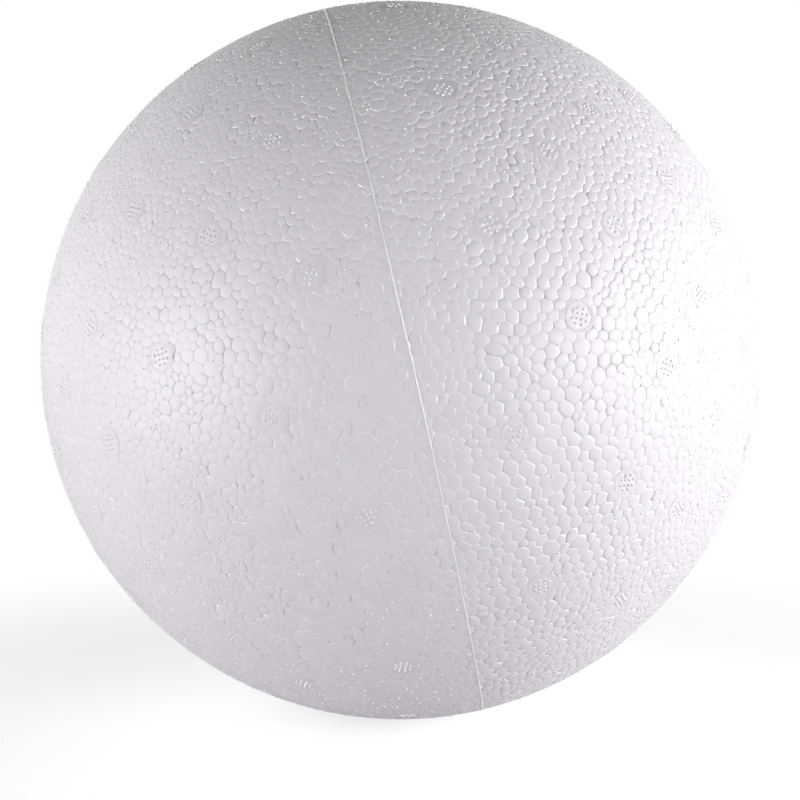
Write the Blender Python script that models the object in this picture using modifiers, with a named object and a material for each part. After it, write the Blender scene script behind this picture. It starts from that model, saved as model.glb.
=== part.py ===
# Polystyrene ball: a solid craft ball of moulded foam beads.
# The ball is one piece. A two-part steam mould leaves two things on it: a thin raised
# flash along the line where the halves met, and a staggered lattice of round vent marks.
# Metres, +Z up, origin at the centre of the ball.

import math

import bmesh
import bpy
from mathutils import Matrix, Vector

# Driving dimensions
BALL_DIAMETER = 0.300
FLASH_HEIGHT = 0.0002
FLASH_ROOT_WIDTH = 0.0012
FLASH_CREST_WIDTH = 0.0005
VENT_DIAMETER = 0.0095
VENT_HEIGHT = 0.0003
VENT_EDGE_SLOPE = 0.0004
VENT_ROOT_DEPTH = 0.0012

# The mould's axis leans out of the level, so the flash leans off the vertical by the same
SEAM_LEAN = math.radians(12.65)

# Vent marks in each ring, counted from the flash to the pole
RING_STEP = math.radians(10.8)
RIGHT_RINGS = (16, 16, 16, 16, 12, 8, 4)
LEFT_RINGS = (15, 15, 15, 15, 12, 8, 4)
LEFT_TWIST = math.radians(-3.5)

# Vent marks that the photograph shows, in degrees up from the flash and round from the
# front. Each stands in for the even one next to it, if that is within the reach.
RIGHT_SEEN = (
    (10.2, -33.7),
    (10.3, -11.5),
    (12.8, 14.1),
    (11.8, 35.2),
    (9.9, 62.8),
    (23.8, -23.4),
    (21.4, 0.7),
    (23.2, 24.2),
    (22.5, 47.1),
    (33.3, -9.6),
    (30.0, 12.6),
)
LEFT_SEEN = (
    (9.4, -43.6),
    (9.4, -17.6),
    (9.6, 12.6),
    (10.6, 32.6),
    (10.5, 56.9),
    (24.1, -50.3),
    (26.7, -19.3),
    (17.7, -3.3),
    (21.3, 22.0),
    (21.4, 46.0),
    (32.3, -13.5),
    (31.3, 8.3),
    (32.2, 33.5),
    (44.2, -2.7),
    (44.0, 18.8),
)
SEEN_REACH = math.radians(9.5)

# Facets
TURN_STEPS = 60
ARC_POINTS = 16
VENT_SIDES = 10

BALL_RADIUS = BALL_DIAMETER / 2


def clear_scene():
    """Remove whatever the file opened with."""
    for old in list(bpy.data.objects):
        bpy.data.objects.remove(old, do_unlink=True)


def new_collection(name):
    """A collection of the scene."""
    group = bpy.data.collections.new(name)
    bpy.context.scene.collection.children.link(group)
    return group


def foam_material():
    """Moulded white foam skin, a touch cool, half glossy."""
    foam = bpy.data.materials.new("moulded_foam")
    foam.use_nodes = True
    shader = foam.node_tree.nodes["Principled BSDF"]
    shader.inputs["Base Color"].default_value = (0.86, 0.84, 0.87, 1.0)
    shader.inputs["Roughness"].default_value = 0.42
    shader.inputs["Metallic"].default_value = 0.0
    return foam


def half_profile():
    """Quarter circle from one pole down to the flash, then up the flash's flank.

    x is the distance from the mould's axis and z runs along that axis.
    """
    root_angle = math.asin(FLASH_ROOT_WIDTH / 2 / BALL_RADIUS)
    outline = []
    for step in range(ARC_POINTS):
        angle = math.pi / 2 + (root_angle - math.pi / 2) * step / (ARC_POINTS - 1)
        outline.append((BALL_RADIUS * math.cos(angle), BALL_RADIUS * math.sin(angle)))
    outline[0] = (0.0, BALL_RADIUS)
    outline.append((BALL_RADIUS + FLASH_HEIGHT, FLASH_CREST_WIDTH / 2))
    return outline


def turned_ball(group, mould):
    """The foam body: the whole profile turned about the mould's axis."""
    upper = half_profile()
    lower = [(x, -z) for x, z in reversed(upper)]
    mesh = bpy.data.meshes.new("ball")
    corners = [(x, 0.0, z) for x, z in upper + lower]
    edges = [(index, index + 1) for index in range(len(corners) - 1)]
    mesh.from_pydata(corners, edges, [])
    ball = bpy.data.objects.new("ball", mesh)
    group.objects.link(ball)
    ball.parent = mould
    turn = ball.modifiers.new("turn", "SCREW")
    turn.axis = "Z"
    turn.angle = math.tau
    turn.steps = TURN_STEPS
    turn.render_steps = TURN_STEPS
    turn.use_merge_vertices = True
    turn.merge_threshold = FLASH_HEIGHT / 20
    turn.use_smooth_shade = True
    return ball


def vent_place(side, latitude, turn):
    """Outward direction of one vent mark, with +Z along the mould's axis."""
    level = math.cos(latitude)
    return Vector((-level * math.sin(turn), -level * math.cos(turn), side * math.sin(latitude)))


def half_vents(side, rings, twist, seen):
    """Outward directions of the vent marks of one mould half.

    Neighbouring rings are staggered by half a pitch, and one mark sits on the pole.
    """
    marks = [vent_place(side, math.radians(up), math.radians(round)) for up, round in seen]
    places = [Vector((0.0, 0.0, side))]
    for ring, count in enumerate(rings, start=1):
        pitch = math.tau / count
        stagger = pitch / 2 if ring % 2 else 0.0
        for number in range(count):
            even = vent_place(side, RING_STEP * ring, twist + stagger + pitch * number)
            nearest = min(marks, key=even.angle)
            places.append(nearest if nearest.angle(even) < SEEN_REACH else even)
    return places


def vent_places():
    """Outward directions of all vent marks."""
    right = half_vents(1, RIGHT_RINGS, 0.0, RIGHT_SEEN)
    left = half_vents(-1, LEFT_RINGS, LEFT_TWIST, LEFT_SEEN)
    return right + left


def vent_marks(guides, mould):
    """All the round vent marks as one mesh of low tapered discs, sunk into the ball."""
    top = VENT_DIAMETER / 2 - VENT_EDGE_SLOPE
    root = VENT_DIAMETER / 2 + VENT_EDGE_SLOPE * VENT_ROOT_DEPTH / VENT_HEIGHT
    shape = bmesh.new()
    for place in vent_places():
        outward = place.to_track_quat("Z", "Y").to_matrix().to_4x4()
        middle = BALL_RADIUS + (VENT_HEIGHT - VENT_ROOT_DEPTH) / 2
        bmesh.ops.create_cone(
            shape,
            cap_ends=True,
            cap_tris=False,
            segments=VENT_SIDES,
            radius1=root,
            radius2=top,
            depth=VENT_HEIGHT + VENT_ROOT_DEPTH,
            matrix=Matrix.Translation(place * middle) @ outward,
        )
    mesh = bpy.data.meshes.new("vent_marks")
    shape.to_mesh(mesh)
    shape.free()
    marks = bpy.data.objects.new("vent_marks", mesh)
    guides.objects.link(marks)
    marks.parent = mould
    marks.hide_render = True
    marks.display_type = "WIRE"
    return marks


def join_marks(ball, marks):
    """Make the vent marks part of the one moulded piece."""
    union = ball.modifiers.new("vent_marks", "BOOLEAN")
    union.operation = "UNION"
    union.solver = "EXACT"
    union.object = marks


def build():
    """The whole part."""
    clear_scene()
    parts = new_collection("polystyrene_ball")
    guides = new_collection("guides")
    mould = bpy.data.objects.new("mould_axis", None)
    parts.objects.link(mould)
    mould.rotation_euler = (0.0, math.pi / 2 - SEAM_LEAN, 0.0)
    ball = turned_ball(parts, mould)
    ball.data.materials.append(foam_material())
    join_marks(ball, vent_marks(guides, mould))


build()
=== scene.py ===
# Looks of the polystyrene ball: a moulded foam ball with a skin of flattened beads,
# a fine mould flash and round vent marks. Metres, +Z up, origin at the ball's centre.

import math
import random
import bmesh
import bpy
import numpy as np
from mathutils import Matrix, Vector


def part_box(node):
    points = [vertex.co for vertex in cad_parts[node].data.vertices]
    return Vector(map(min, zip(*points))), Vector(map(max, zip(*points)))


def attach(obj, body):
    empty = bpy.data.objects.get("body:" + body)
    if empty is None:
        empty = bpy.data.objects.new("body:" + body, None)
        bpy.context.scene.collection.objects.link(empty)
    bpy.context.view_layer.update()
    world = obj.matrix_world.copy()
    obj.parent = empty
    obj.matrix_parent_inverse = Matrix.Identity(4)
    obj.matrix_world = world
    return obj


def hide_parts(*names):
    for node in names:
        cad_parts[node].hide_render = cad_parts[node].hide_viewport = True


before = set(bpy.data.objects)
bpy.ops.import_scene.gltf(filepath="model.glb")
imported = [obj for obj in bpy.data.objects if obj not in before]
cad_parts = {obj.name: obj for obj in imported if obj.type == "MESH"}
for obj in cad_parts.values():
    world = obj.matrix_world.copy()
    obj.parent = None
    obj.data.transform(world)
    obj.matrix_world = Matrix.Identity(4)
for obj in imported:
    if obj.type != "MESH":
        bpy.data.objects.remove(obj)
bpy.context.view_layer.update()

# Taken from the frame
BALL_RADIUS = (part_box("ball")[1][2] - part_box("ball")[0][2]) / 2

# The mould: its axis lies in the XZ plane, and its parting plane holds the flash
SEAM_LEAN = math.radians(12.65)
MOULD_AXIS = Vector((math.cos(SEAM_LEAN), 0.0, math.sin(SEAM_LEAN)))
MOULD_UP = Vector((-math.sin(SEAM_LEAN), 0.0, math.cos(SEAM_LEAN)))
MOULD_FRONT = Vector((0.0, -1.0, 0.0))

# Beads: their spacing in each half, the width of the band where the halves blend, and the
# spread and limits of their sizes
EDGE_CUTS = 45
BEAD_LEFT = 0.00369
BEAD_RIGHT = 0.00422
BLEND_WIDTH = 0.1
BEAD_SPREAD = 0.25
LEAST_SIZE = 0.55
MOST_SIZE = 1.4

# How the beads find their places: by a random throw, then by pushing each other
BEAD_SEED = 11
THROW_SHARE = 0.5
SETTLE_ROUNDS = 6
SETTLE_PUSHES = 5
PUSH_SHARE = 0.15

# Grooves between the beads, how far the beads are fused there, and the pits
SKIN_SINK = 0.00003
SKIN_RADIUS = BALL_RADIUS - SKIN_SINK
TOP_INSET = 0.0002
GROOVE_DEPTH = 0.00005
GROOVE_REACH = 1.4
GROOVE_SHARE = 0.20
FUSED = 0.6
PIT_CHANCE = 0.20
PIT_DEPTH = 0.0004
PIT_LEAST = 0.2
PIT_SHARE = 0.35

# Under a vent mark: how far the calm goes, how deep the grooves are and how far fused
CALM_SHARE = 0.52
CALM_GROOVE = 0.2
CALM_FUSED = 0.85

# Tops of the beads: how full, tilted and rounded they are
LEFT_FLATNESS = 0.6
LEAST_FULLNESS = 0.6
MOST_FULLNESS = 1.4
BEAD_TILT = 0.02
BEAD_STEP = 0.00003
CROWN_DROP = 0.00019
CROWN_POWER = 2.5
CORNER_DROP = 0.00006
CORNER_POWER = 9.0
SHOULDER_DROP = 0.00028
SOFT_SHOULDER_DROP = 0.00005
SHOULDER_POWER = 2.0

# Limits of the geometry: a bead's least spread, and the reach of the cut between halves
LEAST_SPREAD = 1e-16
CUT_REACH = 0.000001

# Small beads in the gaps: how many of the gaps hold one, and how large and deep they are
SMALL_CHANCE = 0.22
SMALL_LEAST = 0.0003
SMALL_MOST = 0.00056
SMALL_SINK = 0.22
SMALL_BATCH = 100

# Flash: its section is a bow over a flat root, with the bow's corners a lean (in degrees)
# apart
FLASH_HEIGHT = 0.00018
FLASH_WIDTH = 0.0005
FLASH_ROOT = 0.0004
FLASH_LEAN = 28
FLASH_CORNERS = 3
FLASH_STEPS = 900

# Vent marks in each ring, counted from the flash to the pole
VENT_DIAMETER = 0.0095
RING_STEP = math.radians(10.8)
RIGHT_RINGS = (16, 16, 16, 16, 12, 8, 4)
LEFT_RINGS = (15, 15, 15, 15, 12, 8, 4)
LEFT_TWIST = math.radians(-3.5)

# Vent marks that the photograph shows, in degrees up from the flash and round from the
# front. Each stands in for the even one next to it, if that is within the reach.
RIGHT_SEEN = (
    (10.2, -33.7),
    (10.3, -11.5),
    (12.8, 14.1),
    (11.8, 35.2),
    (9.9, 62.8),
    (23.8, -23.4),
    (21.4, 0.7),
    (23.2, 24.2),
    (22.5, 47.1),
    (33.3, -9.6),
    (30.0, 12.6),
)
LEFT_SEEN = (
    (9.4, -43.6),
    (9.4, -17.6),
    (9.6, 12.6),
    (10.6, 32.6),
    (10.5, 56.9),
    (24.1, -50.3),
    (26.7, -19.3),
    (17.7, -3.3),
    (21.3, 22.0),
    (21.4, 46.0),
    (32.3, -13.5),
    (31.3, 8.3),
    (32.2, 33.5),
    (44.2, -2.7),
    (44.0, 18.8),
)
SEEN_REACH = math.radians(9.5)

# What each vent mark is made of. Edges steeper than the sharp angle aren't shaded smooth,
# which keeps the ring's closing bottom face out of the look of its top.
VENT_RING_WIDTH = 0.0001
VENT_RING_HEIGHT = 0.000005
VENT_RING_FLANK = 0.0005
VENT_RING_ROOT = 0.00004
VENT_RING_STEPS = 28
SHARP_ANGLE = math.radians(100)
NUB_RADIUS = 0.00044
NUB_SINK = 0.00006
NUB_SIDES = 8
NUB_LAYERS = 4
OUTER_NUBS = 8
OUTER_NUB_RING = 0.0027
INNER_NUBS = 4
INNER_NUB_RING = 0.0012

# Camera: level with the ball, whose centre lies 40 of the picture's 800 pixels above
# the middle, so the lens is shifted by that share
VIEW_DISTANCE = 3.2 * BALL_RADIUS
VIEW_AZIMUTH = math.radians(-1.36)
LENS = 49.15
SENSOR = 36.0
LENS_SHIFT = -40 / 800

# Colours of the foam: the darkest and the palest bead tops, the pressed places, and the
# vent marks' rings. The pressed places' colour is also painted into the grooves as
# painted light, standing in for light that spreads inside the foam.
DARK_TOP = (0.885, 0.845, 0.905)
PALE_TOP = (0.905, 0.865, 0.92)
PRESSED_FOAM_AND_GROOVE_LIGHT = (0.98, 0.965, 0.98)
RING_FOAM = (0.895, 0.86, 0.90)

# Gloss comes in over this range from a bead's top (0) to its groove (1)
GLOSS_FROM = 0.15
GLOSS_TO = 0.5

# Floor: its size, how far it is lifted toward white near the ball, and where it fades to
# full white, in radii of the ball from the centre
FLOOR_SIZE = 6.0
FLOOR_LIFT = 0.6
FADE_FROM = 0.8
FADE_TO = 2.6

# Light that the white surround gives apart from its reflections, and the lamps' distance
WORLD_LIGHT = 0.0
BOX_DISTANCE = 1.1


def new_piece(name, shape, material):
    """A finished piece from a bmesh, riding on the ball's body."""
    mesh = bpy.data.meshes.new(name)
    shape.to_mesh(mesh)
    shape.free()
    mesh.materials.append(material)
    piece = bpy.data.objects.new(name, mesh)
    bpy.context.scene.collection.objects.link(piece)
    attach(piece, "root")
    return piece


def on_sphere(place, radius):
    """The point of a sphere round the origin that lies above a place."""
    return place.normalized() * radius


def bead_half(direction):
    """0 deep in the left half of the mould, 1 deep in the right one."""
    height = direction.dot(MOULD_AXIS)
    return min(1.0, max(0.0, 0.5 + height / BLEND_WIDTH))


def spread_by_half(shape):
    """Crowd the points of an even ball toward the left half, whose beads are finer."""
    left_share = BEAD_RIGHT**2 / (BEAD_LEFT**2 + BEAD_RIGHT**2)
    parting = 2 * left_share - 1
    for point in shape.verts:
        direction = point.co.normalized()
        height = direction.dot(MOULD_AXIS)
        level = direction - MOULD_AXIS * height
        if height < parting:
            height = (height - parting) / (1 + parting)
        else:
            height = (height - parting) / (1 - parting)
        level = level.normalized() * math.sqrt(max(0.0, 1 - height * height))
        point.co = (MOULD_AXIS * height + level) * BALL_RADIUS


def even_ball():
    """A triangulated ball with one point for each bead."""
    shape = bmesh.new()
    bmesh.ops.create_icosphere(shape, subdivisions=1, radius=BALL_RADIUS)
    bmesh.ops.subdivide_edges(
        shape, edges=shape.edges[:], cuts=EDGE_CUTS, use_grid_fill=True
    )
    spread_by_half(shape)
    return shape


def shake(shape, dice):
    """Throw the points out of their even places."""
    reach = THROW_SHARE * BEAD_LEFT
    for point in shape.verts:
        push = Vector([dice.uniform(-reach, reach) for _ in range(3)])
        point.co = on_sphere(point.co + push, BALL_RADIUS)


def bead_sizes(shape, dice):
    """A radius for each bead."""
    sizes = []
    for point in shape.verts:
        share = bead_half(point.co.normalized())
        middle = (BEAD_LEFT + (BEAD_RIGHT - BEAD_LEFT) * share) / 2
        factor = min(MOST_SIZE, max(LEAST_SIZE, dice.gauss(1.0, BEAD_SPREAD)))
        sizes.append(middle * factor)
    return np.array(sizes)


def join_neighbours(shape):
    """Turn edges until each bead is joined to the ones that lie next to it."""
    bmesh.ops.beautify_fill(
        shape, faces=shape.faces[:], edges=shape.edges[:], method="ANGLE"
    )


def settle(shape, sizes):
    """Let neighbouring beads push each other to where their sizes fit."""
    for _ in range(SETTLE_ROUNDS):
        places = np.array([point.co for point in shape.verts])
        ends = np.array([[end.index for end in edge.verts] for edge in shape.edges])
        first = ends[:, 0]
        second = ends[:, 1]
        wanted = sizes[first] + sizes[second]
        for _ in range(SETTLE_PUSHES):
            gap = places[second] - places[first]
            length = np.linalg.norm(gap, axis=1)
            push = gap * (PUSH_SHARE * (length - wanted) / length)[:, None]
            np.add.at(places, first, push)
            np.add.at(places, second, -push)
            places *= BALL_RADIUS / np.linalg.norm(places, axis=1)[:, None]
        for point, place in zip(shape.verts, places):
            point.co = place
        join_neighbours(shape)


def cells_from_beads(shape, sizes):
    """Change the net that joins the beads into one face for each bead."""
    beads = shape.verts[:]
    net = shape.edges[:]
    corners = bmesh.ops.poke(shape, faces=shape.faces[:])["verts"]
    for corner in corners:
        total = Vector()
        weight = 0.0
        for edge in corner.link_edges:
            bead = edge.other_vert(corner)
            pull = 1.0 / sizes[bead.index]
            total += bead.co * pull
            weight += pull
        corner.co = on_sphere(total / weight, BALL_RADIUS)
    bmesh.ops.rotate_edges(shape, edges=net, use_ccw=False)
    bmesh.ops.dissolve_verts(shape, verts=beads)


def vent_place(side, latitude, turn):
    """Outward direction of one vent mark."""
    level = MOULD_FRONT * math.cos(turn) + MOULD_UP * math.sin(turn)
    return MOULD_AXIS * (side * math.sin(latitude)) + level * math.cos(latitude)


def half_vents(side, rings, twist, seen):
    """Outward directions of the vent marks of one mould half.

    Neighbouring rings are staggered by half a pitch, and one mark sits on the pole.
    """
    marks = []
    for up, turn in seen:
        marks.append(vent_place(side, math.radians(up), math.radians(turn)))
    places = [MOULD_AXIS * side]
    for ring, count in enumerate(rings, start=1):
        pitch = math.tau / count
        stagger = pitch / 2 if ring % 2 else 0.0
        for number in range(count):
            even = vent_place(side, RING_STEP * ring, twist + stagger + pitch * number)
            nearest = min(marks, key=even.angle)
            places.append(nearest if nearest.angle(even) < SEEN_REACH else even)
    return places


def vent_directions():
    """Outward directions of all vent marks."""
    right = half_vents(1, RIGHT_RINGS, 0.0, RIGHT_SEEN)
    left = half_vents(-1, LEFT_RINGS, LEFT_TWIST, LEFT_SEEN)
    return right + left


def under_vents(corners):
    """Those of the points that lie inside a vent mark."""
    outward = np.array([corner.co.normalized() for corner in corners])
    nearest = (outward @ np.array(vent_directions()).T).max(axis=1)
    limit = math.cos(CALM_SHARE * VENT_DIAMETER / BALL_RADIUS)
    return {corner for corner, closeness in zip(corners, nearest) if closeness > limit}


def raise_beads(shape, dice):
    """Give each cell a flat top, sunk grooves round it and here and there a pit.

    The point layer "inner" is 1 on the tops and less in the grooves, down to 0 in a pit.
    Under a vent mark it hardly changes, because the beads are pressed flatter there.
    Returned are the directions of the gaps in which a small bead sits.
    """
    uv = shape.loops.layers.uv.new("bead")
    tone = shape.faces.layers.float.new("tone")
    fullness = shape.faces.layers.float.new("fullness")
    inner = shape.verts.layers.float.new("inner")
    cells = shape.faces[:]
    corners = shape.verts[:]
    calm = under_vents(corners)
    bmesh.ops.inset_individual(
        shape, faces=cells, thickness=TOP_INSET, use_even_offset=True
    )
    for point in shape.verts:
        point[inner] = 1.0
    depths = {}
    gaps = []
    for corner in corners:
        fused = dice.uniform(0.0, FUSED)
        depth = GROOVE_DEPTH * (GROOVE_REACH - fused)
        luck = dice.random()
        if corner in calm:
            depth = CALM_GROOVE * GROOVE_DEPTH
            fused = CALM_FUSED
        elif luck < PIT_CHANCE:
            depth += PIT_DEPTH * dice.uniform(PIT_LEAST, 1.0)
            fused = 0.0
        elif luck < PIT_CHANCE + SMALL_CHANCE:
            gaps.append(corner.co.normalized())
        corner[inner] = fused
        depths[corner] = depth
    for cell in cells:
        paint_bead(cell, depths, (uv, tone, fullness), dice)
    for corner in corners:
        corner.co = on_sphere(corner.co, SKIN_RADIUS - depths[corner])
        for edge in corner.link_edges:
            if edge.other_vert(corner) in depths:
                edge.smooth = False
    return gaps


def paint_bead(cell, depths, layers, dice):
    """Shape one bead's top and write its own coordinates, tone and fullness."""
    uv, tone, fullness = layers
    rims = list(cell.verts)
    outer = []
    for top in rims:
        ends = [edge.other_vert(top) for edge in top.link_edges]
        outer.append(next(end for end in ends if end in depths))
    middle = Vector()
    for corner in outer:
        middle += corner.co
    middle = on_sphere(middle, BALL_RADIUS)
    up = middle.normalized()
    size = sum((corner.co - middle).length for corner in outer) / len(outer)
    across = up.orthogonal().normalized()
    along = up.cross(across)
    full = LEFT_FLATNESS + (1 - LEFT_FLATNESS) * bead_half(up)
    full *= dice.uniform(LEAST_FULLNESS, MOST_FULLNESS)
    lean = across * dice.uniform(-BEAD_TILT, BEAD_TILT) * full
    lean += along * dice.uniform(-BEAD_TILT, BEAD_TILT) * full
    step = dice.uniform(0.0, BEAD_STEP)
    for top, corner in zip(rims, outer):
        share = GROOVE_SHARE * full + PIT_SHARE * (depths[corner] - GROOVE_DEPTH) / size
        top.co = corner.co + (middle - corner.co) * share
        rise = (top.co - middle).dot(lean)
        top.co = on_sphere(top.co, SKIN_RADIUS - step + min(rise, step))
    mark = dice.random()
    rounding = round_off([corner.co - middle for corner in outer], across, along)
    faces = {cell}
    for edge in cell.edges:
        faces.update(edge.link_faces)
    for face in faces:
        face[tone] = mark
        face[fullness] = full
        face.smooth = True
        for loop in face.loops:
            offset = loop.vert.co - middle
            loop[uv].uv = rounding @ Vector((offset.dot(across), offset.dot(along)))


def round_off(offsets, across, along):
    """The matrix that turns a bead, also a long one, into a disc of radius 1."""
    flat = [(offset.dot(across), offset.dot(along)) for offset in offsets]
    wide = sum(x * x for x, _ in flat) / len(flat)
    high = sum(y * y for _, y in flat) / len(flat)
    slant = sum(x * y for x, y in flat) / len(flat)
    area = math.sqrt(max(wide * high - slant * slant, LEAST_SPREAD))
    scale = math.sqrt(wide + high + 2 * area)
    stretch = Matrix(((wide + area, slant), (slant, high + area)))
    return stretch.inverted() * (scale / math.sqrt(2))


def half_of(shape, side):
    """One mould half of the skin, closed by a flat face in the parting plane."""
    half = shape.copy()
    cut = bmesh.ops.bisect_plane(
        half,
        geom=half.verts[:] + half.edges[:] + half.faces[:],
        dist=CUT_REACH,
        plane_co=(0.0, 0.0, 0.0),
        plane_no=MOULD_AXIS * side,
        clear_inner=True,
    )["geom_cut"]
    loop = [part for part in cut if isinstance(part, bmesh.types.BMEdge)]
    bmesh.ops.contextual_create(half, geom=loop)
    for edge in loop:
        edge.smooth = False
    return half


def bead_skin(foam):
    """The whole skin of beads, as two closed half balls that meet under the flash.

    Returned are the directions of the gaps for the small beads.
    """
    dice = random.Random(BEAD_SEED)
    shape = even_ball()
    shake(shape, dice)
    join_neighbours(shape)
    sizes = bead_sizes(shape, dice)
    settle(shape, sizes)
    cells_from_beads(shape, sizes)
    gaps = raise_beads(shape, dice)
    for name, side in (("bead_skin_right", 1), ("bead_skin_left", -1)):
        skin = new_piece(name, half_of(shape, side), foam)
        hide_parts("ball")
        even = skin.modifiers.new("flat_tops", "WEIGHTED_NORMAL")
        even.mode = "FACE_AREA"
        even.keep_sharp = True
    shape.free()
    return gaps


def small_beads(gaps, foam):
    """The tiny round beads that fill some of the gaps between the large ones."""
    dice = random.Random(BEAD_SEED)
    shape = bmesh.new()
    for start in range(0, len(gaps), SMALL_BATCH):
        batch = bmesh.new()
        for direction in gaps[start : start + SMALL_BATCH]:
            radius = SMALL_LEAST + (SMALL_MOST - SMALL_LEAST) * dice.random() ** 2
            place = direction * (SKIN_RADIUS - SMALL_SINK * radius)
            bmesh.ops.create_icosphere(
                batch, subdivisions=1, radius=radius, matrix=Matrix.Translation(place)
            )
        lot = bpy.data.meshes.new("small_beads_lot")
        batch.to_mesh(lot)
        batch.free()
        shape.from_mesh(lot)
        bpy.data.meshes.remove(lot)
    for face in shape.faces:
        face.smooth = True
    return new_piece("small_beads", shape, foam)


def spin_section(shape, corners, axis, steps):
    """Join the corners into a closed section and turn it about an axis at the origin."""
    edges = []
    for index, corner in enumerate(corners):
        edges.append(shape.edges.new((corner, corners[(index + 1) % len(corners)])))
    bmesh.ops.spin(
        shape,
        geom=corners + edges,
        cent=(0.0, 0.0, 0.0),
        axis=axis,
        angle=math.tau,
        steps=steps,
        use_merge=True,
    )


def mould_flash(foam):
    """The thin fin where the two mould halves met."""
    shape = bmesh.new()
    reach = FLASH_WIDTH / 2
    root = BALL_RADIUS - FLASH_ROOT
    height = SKIN_SINK + FLASH_HEIGHT
    outline = [(root, -reach)]
    for step in range(-FLASH_CORNERS, FLASH_CORNERS + 1):
        lean = math.radians(FLASH_LEAN * step)
        outline.append((SKIN_RADIUS + height * math.cos(lean), reach * math.sin(lean)))
    outline.append((root, reach))
    corners = []
    for distance, side in outline:
        corners.append(shape.verts.new(MOULD_FRONT * distance + MOULD_AXIS * side))
    spin_section(shape, corners, MOULD_AXIS, FLASH_STEPS)
    bmesh.ops.recalc_face_normals(shape, faces=shape.faces[:])
    for face in shape.faces:
        face.smooth = True
    return new_piece("mould_flash", shape, foam)


def vent_ring():
    """The faint ring of one vent mark at the origin, facing +Z."""
    mark = bmesh.new()
    reach = VENT_DIAMETER / 2
    half = VENT_RING_WIDTH / 2
    foot = half + VENT_RING_FLANK
    corners = [
        mark.verts.new((reach - foot, 0.0, -VENT_RING_ROOT)),
        mark.verts.new((reach - half, 0.0, VENT_RING_HEIGHT)),
        mark.verts.new((reach + half, 0.0, VENT_RING_HEIGHT)),
        mark.verts.new((reach + foot, 0.0, -VENT_RING_ROOT)),
    ]
    spin_section(mark, corners, (0.0, 0.0, 1.0), VENT_RING_STEPS)
    return mark


def vent_nubs():
    """The small raised nubs of one vent mark at the origin, facing +Z."""
    mark = bmesh.new()
    for count, ring in ((OUTER_NUBS, OUTER_NUB_RING), (INNER_NUBS, INNER_NUB_RING)):
        for number in range(count):
            turn = math.tau * (number + 0.5) / count
            place = Vector((ring * math.cos(turn), ring * math.sin(turn), -NUB_SINK))
            bmesh.ops.create_uvsphere(
                mark,
                u_segments=NUB_SIDES,
                v_segments=NUB_LAYERS,
                radius=NUB_RADIUS,
                matrix=Matrix.Translation(place),
            )
    return mark


def vent_marks(name, mark, foam):
    """One part of all vent marks, laid on the ball in each one's own place."""
    bmesh.ops.recalc_face_normals(mark, faces=mark.faces[:])
    for face in mark.faces:
        face.smooth = True
    for edge in mark.edges:
        edge.smooth = edge.calc_face_angle() < SHARP_ANGLE
    single = bpy.data.meshes.new("vent_mark")
    mark.to_mesh(single)
    mark.free()
    dice = random.Random(BEAD_SEED)
    shape = bmesh.new()
    for direction in vent_directions():
        outward = direction.to_track_quat("Z", "Y").to_matrix().to_4x4()
        spin = Matrix.Rotation(dice.uniform(0.0, math.tau), 4, "Z")
        place = Matrix.Translation(direction * SKIN_RADIUS)
        before = len(shape.verts)
        shape.from_mesh(single)
        shape.verts.ensure_lookup_table()
        bmesh.ops.transform(
            shape, matrix=place @ outward @ spin, verts=shape.verts[before:]
        )
    bpy.data.meshes.remove(single)
    return new_piece(name, shape, foam)


def socket_value(shader, name, value):
    """Set one number or colour on a shader's own socket."""
    shader.inputs[name].default_value = value


def drop_toward_edge(nodes, links, share, power, drop):
    """A height that falls by the drop as the share goes from 0 to 1."""
    curve = nodes.new("ShaderNodeMath")
    curve.operation = "POWER"
    curve.inputs[1].default_value = power
    links.new(share, curve.inputs[0])
    height = nodes.new("ShaderNodeMath")
    height.operation = "MULTIPLY"
    height.inputs[1].default_value = -drop
    links.new(curve.outputs["Value"], height.inputs[0])
    return height.outputs["Value"]


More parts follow.
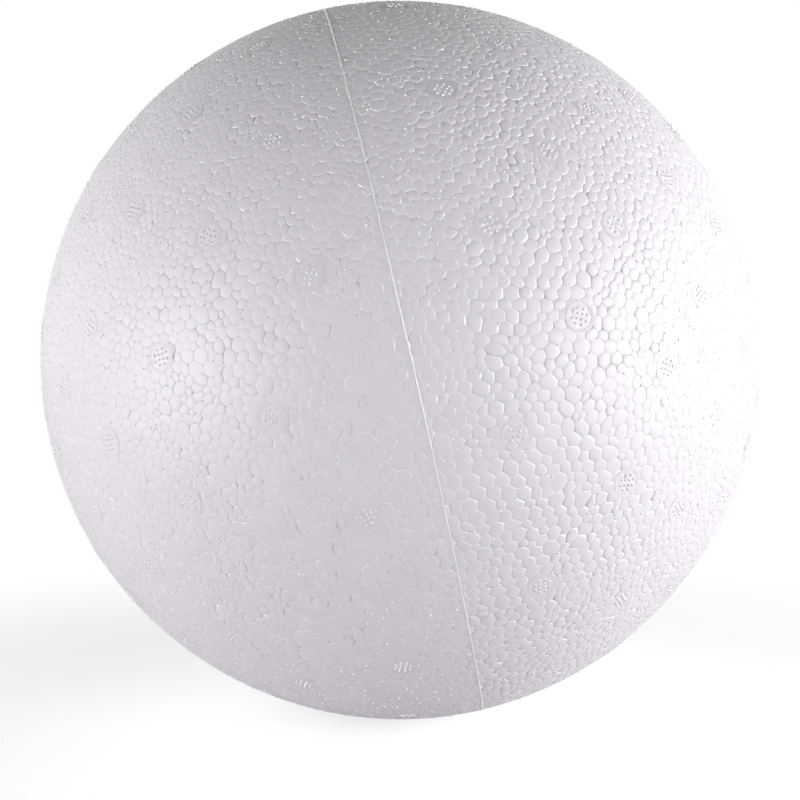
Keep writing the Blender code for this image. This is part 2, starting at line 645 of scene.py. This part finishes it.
def foam_material():
    """White moulded foam: half-glossy bead tops, and a glossy skin over their rims.

    Light spreads inside the foam, so the body under the skin has a softer relief, and its
    grooves are painted paler than the tops: painted light for the light that spreads
    there.
    """
    foam = bpy.data.materials.new("moulded_foam_skin")
    foam.use_nodes = True
    nodes = foam.node_tree.nodes
    links = foam.node_tree.links
    shader = nodes["Principled BSDF"]
    socket_value(shader, "Roughness", 0.5)
    socket_value(shader, "Specular IOR Level", 0.7)
    socket_value(shader, "Coat Roughness", 0.1)
    socket_value(shader, "Coat IOR", 1.45)

    inner = nodes.new("ShaderNodeAttribute")
    inner.attribute_name = "inner"
    rim = nodes.new("ShaderNodeMath")
    rim.operation = "SUBTRACT"
    rim.use_clamp = True
    rim.inputs[0].default_value = 1.0
    links.new(inner.outputs["Fac"], rim.inputs[1])
    gloss = nodes.new("ShaderNodeMapRange")
    gloss.inputs["From Min"].default_value = GLOSS_FROM
    gloss.inputs["From Max"].default_value = GLOSS_TO
    links.new(rim.outputs["Value"], gloss.inputs["Value"])
    links.new(gloss.outputs["Result"], shader.inputs["Coat Weight"])

    bead = nodes.new("ShaderNodeUVMap")
    bead.uv_map = "bead"
    reach = nodes.new("ShaderNodeVectorMath")
    reach.operation = "LENGTH"
    links.new(bead.outputs["UV"], reach.inputs[0])
    out = reach.outputs["Value"]
    crown = drop_toward_edge(nodes, links, out, CROWN_POWER, CROWN_DROP)
    corner = drop_toward_edge(nodes, links, out, CORNER_POWER, CORNER_DROP)
    dome = nodes.new("ShaderNodeMath")
    dome.operation = "ADD"
    links.new(crown, dome.inputs[0])
    links.new(corner, dome.inputs[1])
    fullness = nodes.new("ShaderNodeAttribute")
    fullness.attribute_name = "fullness"

    for socket, drop in (("Normal", SOFT_SHOULDER_DROP), ("Coat Normal", SHOULDER_DROP)):
        edge = rim.outputs["Value"]
        shoulder = drop_toward_edge(nodes, links, edge, SHOULDER_POWER, drop)
        whole = nodes.new("ShaderNodeMath")
        whole.operation = "ADD"
        links.new(dome.outputs["Value"], whole.inputs[0])
        links.new(shoulder, whole.inputs[1])
        relief = nodes.new("ShaderNodeMath")
        relief.operation = "MULTIPLY"
        links.new(whole.outputs["Value"], relief.inputs[0])
        links.new(fullness.outputs["Fac"], relief.inputs[1])
        bump = nodes.new("ShaderNodeBump")
        bump.inputs["Distance"].default_value = 1.0
        links.new(relief.outputs["Value"], bump.inputs["Height"])
        links.new(bump.outputs["Normal"], shader.inputs[socket])

    tone = nodes.new("ShaderNodeAttribute")
    tone.attribute_name = "tone"
    tint = nodes.new("ShaderNodeMix")
    tint.data_type = "RGBA"
    tint.inputs["A"].default_value = (*DARK_TOP, 1.0)
    tint.inputs["B"].default_value = (*PALE_TOP, 1.0)
    links.new(tone.outputs["Fac"], tint.inputs["Factor"])
    # Painted light: the base colour grows paler toward the grooves, standing in for light
    # that spreads inside the foam
    painted_groove_light = nodes.new("ShaderNodeMix")
    painted_groove_light.data_type = "RGBA"
    painted_groove_light.inputs["B"].default_value = (*PRESSED_FOAM_AND_GROOVE_LIGHT, 1.0)
    links.new(rim.outputs["Value"], painted_groove_light.inputs["Factor"])
    links.new(tint.outputs["Result"], painted_groove_light.inputs["A"])
    links.new(painted_groove_light.outputs["Result"], shader.inputs["Base Color"])
    return foam


def pressed_foam(name, colour, roughness, gloss):
    """The same foam where the mould pressed it smooth."""
    pressed = bpy.data.materials.new(name)
    pressed.use_nodes = True
    shader = pressed.node_tree.nodes["Principled BSDF"]
    socket_value(shader, "Base Color", (*colour, 1.0))
    socket_value(shader, "Roughness", roughness)
    socket_value(shader, "Specular IOR Level", gloss)
    return pressed


def floor_material():
    """Plain white floor that shows the ball's shadow and fades into the white behind."""
    paint = bpy.data.materials.new("white_floor")
    paint.use_nodes = True
    nodes = paint.node_tree.nodes
    links = paint.node_tree.links
    shader = nodes["Principled BSDF"]
    output = nodes["Material Output"]
    socket_value(shader, "Base Color", (0.8, 0.8, 0.8, 1.0))
    socket_value(shader, "Roughness", 1.0)
    socket_value(shader, "Specular IOR Level", 0.0)
    seen = nodes.new("ShaderNodeLightPath")
    lift = nodes.new("ShaderNodeMath")
    lift.operation = "MULTIPLY"
    lift.inputs[1].default_value = FLOOR_LIFT
    links.new(seen.outputs["Is Camera Ray"], lift.inputs[0])
    near_glow = nodes.new("ShaderNodeEmission")
    links.new(lift.outputs["Value"], near_glow.inputs["Strength"])
    near = nodes.new("ShaderNodeAddShader")
    links.new(shader.outputs["BSDF"], near.inputs[0])
    links.new(near_glow.outputs["Emission"], near.inputs[1])

    place = nodes.new("ShaderNodeTexCoord")
    flat = nodes.new("ShaderNodeVectorMath")
    flat.operation = "MULTIPLY"
    flat.inputs[1].default_value = (1.0, 1.0, 0.0)
    links.new(place.outputs["Object"], flat.inputs[0])
    away = nodes.new("ShaderNodeVectorMath")
    away.operation = "LENGTH"
    links.new(flat.outputs["Vector"], away.inputs[0])
    fade = nodes.new("ShaderNodeMapRange")
    fade.interpolation_type = "SMOOTHSTEP"
    fade.inputs["From Min"].default_value = FADE_FROM * BALL_RADIUS
    fade.inputs["From Max"].default_value = FADE_TO * BALL_RADIUS
    links.new(away.outputs["Value"], fade.inputs["Value"])
    shown = nodes.new("ShaderNodeMath")
    shown.operation = "MULTIPLY"
    links.new(fade.outputs["Result"], shown.inputs[0])
    links.new(seen.outputs["Is Camera Ray"], shown.inputs[1])
    white = nodes.new("ShaderNodeEmission")
    blend = nodes.new("ShaderNodeMixShader")
    links.new(shown.outputs["Value"], blend.inputs["Fac"])
    links.new(near.outputs["Shader"], blend.inputs[1])
    links.new(white.outputs["Emission"], blend.inputs[2])
    links.new(blend.outputs["Shader"], output.inputs["Surface"])
    return paint


def floor():
    """A wide pale floor under the ball."""
    shape = bmesh.new()
    bmesh.ops.create_grid(shape, x_segments=1, y_segments=1, size=FLOOR_SIZE)
    for corner in shape.verts:
        corner.co.z = -BALL_RADIUS
    mesh = bpy.data.meshes.new("floor")
    shape.to_mesh(mesh)
    shape.free()
    mesh.materials.append(floor_material())
    ground = bpy.data.objects.new("floor", mesh)
    bpy.context.scene.collection.objects.link(ground)


def white_surround():
    """A world that is white to look at and in gloss, and else gives only WORLD_LIGHT."""
    world = bpy.data.worlds.new("surround")
    bpy.context.scene.world = world
    world.use_nodes = True
    nodes = world.node_tree.nodes
    links = world.node_tree.links
    background = nodes["Background"]
    background.inputs["Color"].default_value = (1.0, 1.0, 1.0, 1.0)
    seen = nodes.new("ShaderNodeLightPath")
    looked_at = nodes.new("ShaderNodeMath")
    looked_at.operation = "MAXIMUM"
    links.new(seen.outputs["Is Camera Ray"], looked_at.inputs[0])
    links.new(seen.outputs["Is Transmission Ray"], looked_at.inputs[1])
    mirrored = nodes.new("ShaderNodeMath")
    mirrored.operation = "MAXIMUM"
    links.new(looked_at.outputs["Value"], mirrored.inputs[0])
    links.new(seen.outputs["Is Glossy Ray"], mirrored.inputs[1])
    strength = nodes.new("ShaderNodeMapRange")
    strength.inputs["To Min"].default_value = WORLD_LIGHT
    strength.inputs["To Max"].default_value = 1.0
    links.new(mirrored.outputs["Value"], strength.inputs["Value"])
    links.new(strength.outputs["Result"], background.inputs["Strength"])


def soft_box(name, azimuth, height, size, watts, glint=True):
    """A large square lamp that faces the ball; azimuth 0 is in front, 90 to the right.

    One without a glint lights the ball but is itself seen neither directly nor in gloss.
    """
    lamp = bpy.data.lights.new(name, "AREA")
    lamp.shape = "SQUARE"
    lamp.size = size
    lamp.energy = watts
    box = bpy.data.objects.new(name, lamp)
    turn = math.radians(azimuth)
    right = math.sin(turn) * BOX_DISTANCE
    back = -math.cos(turn) * BOX_DISTANCE
    place = Vector((right, back, height))
    box.location = place
    box.rotation_euler = (-place).to_track_quat("-Z", "Y").to_euler()
    box.visible_camera = glint
    box.visible_glossy = glint
    bpy.context.scene.collection.objects.link(box)


def camera():
    """The camera, level with the ball and aimed at its centre."""
    lens = bpy.data.cameras.new("camera")
    lens.lens = LENS
    lens.sensor_width = SENSOR
    lens.shift_y = LENS_SHIFT
    eye = bpy.data.objects.new("camera", lens)
    bpy.context.scene.collection.objects.link(eye)
    place = Vector((math.sin(VIEW_AZIMUTH), -math.cos(VIEW_AZIMUTH), 0.0)) * VIEW_DISTANCE
    eye.location = place
    eye.rotation_euler = (-place).to_track_quat("-Z", "Y").to_euler()
    bpy.context.scene.camera = eye


camera()
floor()
white_surround()
soft_box("left_box", azimuth=-62, height=-0.12, size=0.45, watts=13.4)
soft_box("right_box", azimuth=50, height=0.0, size=0.45, watts=5.8)
soft_box("far_right_box", azimuth=76, height=0.14, size=0.45, watts=6.0)
soft_box("back_box", azimuth=180, height=0.05, size=0.6, watts=6.0, glint=False)
bead_gaps = bead_skin(foam_material())
dense_foam = pressed_foam("dense_foam", PRESSED_FOAM_AND_GROOVE_LIGHT, roughness=0.2, gloss=1.0)
small_beads(bead_gaps, dense_foam)
ring_foam = pressed_foam("ring_foam", RING_FOAM, roughness=0.4, gloss=0.12)
mould_flash(dense_foam)
vent_marks("vent_rings", vent_ring(), ring_foam)
vent_marks("vent_nubs", vent_nubs(), dense_foam)

bpy.context.scene.view_settings.view_transform = "Standard"
